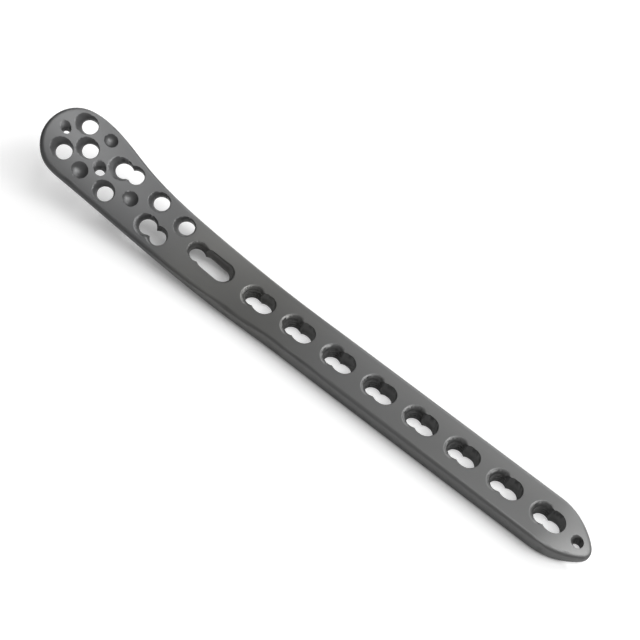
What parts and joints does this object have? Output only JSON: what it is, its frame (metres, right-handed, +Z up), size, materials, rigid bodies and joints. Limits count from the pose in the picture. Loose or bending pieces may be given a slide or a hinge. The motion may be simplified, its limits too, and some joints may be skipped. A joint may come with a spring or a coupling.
{
  "type": "orthopedic bone plate",
  "caption": "Contoured one-piece locking bone plate: straight shaft with combination screw holes, and a thin, twisted, broad head with leaning locking holes.",
  "frame": {"origin": "middle of the plate's length and width, at the height of the surface it lies on", "axes": "+X along the plate from the broad head to the pointed tip, +Y across it, +Z up from the bone side to the outer side"},
  "size_m": [0.1744, 0.0204, 0.019],
  "materials": {
    "anodised_titanium": "satin, dark grey anodised"
  },
  "bodies": {
    "root": {"bone_plate": "anodised_titanium"}
  },
  "joints": []
}
